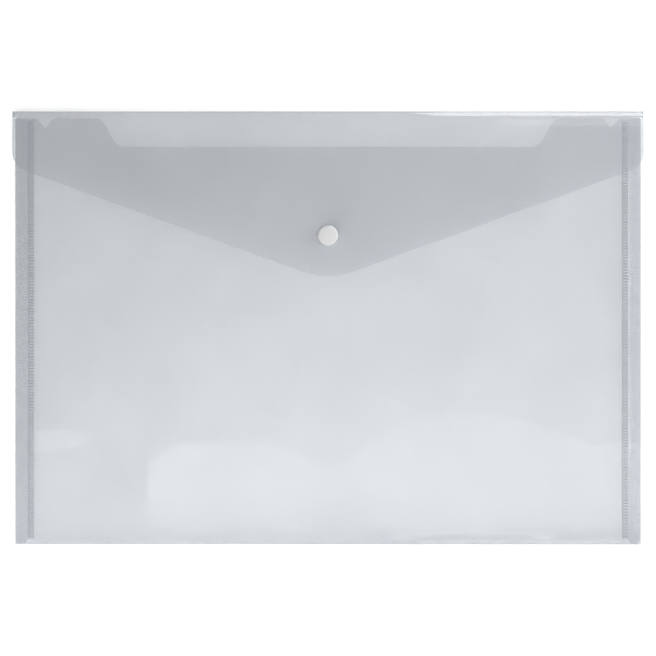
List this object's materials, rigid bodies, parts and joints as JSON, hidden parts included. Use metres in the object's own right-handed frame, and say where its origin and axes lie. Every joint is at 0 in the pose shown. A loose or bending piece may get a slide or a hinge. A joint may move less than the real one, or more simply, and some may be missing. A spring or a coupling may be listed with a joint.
{
  "type": "document wallet",
  "caption": "Flat envelope wallet of translucent film with welded sides, a thumb recess and a pointed flap that swings on a film fold and shuts with a round snap button.",
  "frame": {"origin": "under the middle of the wallet, on the face it lies on", "axes": "+X across the wallet to the right, +Y up the front towards the flap's fold, +Z out of the front"},
  "size_m": [0.3376, 0.232, 0.0102],
  "materials": {
    "film": "translucent colourless polypropylene film with a fine satin grain",
    "weld": "the same film melted into close ribs along the seam",
    "snap": "moulded white plastic, satin"
  },
  "bodies": {
    "pocket": {"back_panel": "film", "bottom_fold_back": "film", "bottom_fold_front": "film", "front_panel": "film", "left_side_tab": "film", "right_side_tab": "film", "left_weld_flange": "film", "right_weld_flange": "film", "left_weld_seam": "weld", "right_weld_seam": "weld", "flap_living_hinge": "film", "snap_stud": "snap", "snap_inner_cap": "snap"},
    "flap": {"closure_flap": "film", "snap_cap": "snap", "snap_socket": "snap"}
  },
  "joints": [
    {"name": "flap_fold", "type": "hinge", "parent": "pocket", "child": "flap", "pos_m": [0, 0.116, 0.00302], "axis": [-1, 0, 0], "range_deg": [0, 175], "deforming": ["flap_living_hinge"]}
  ]
}
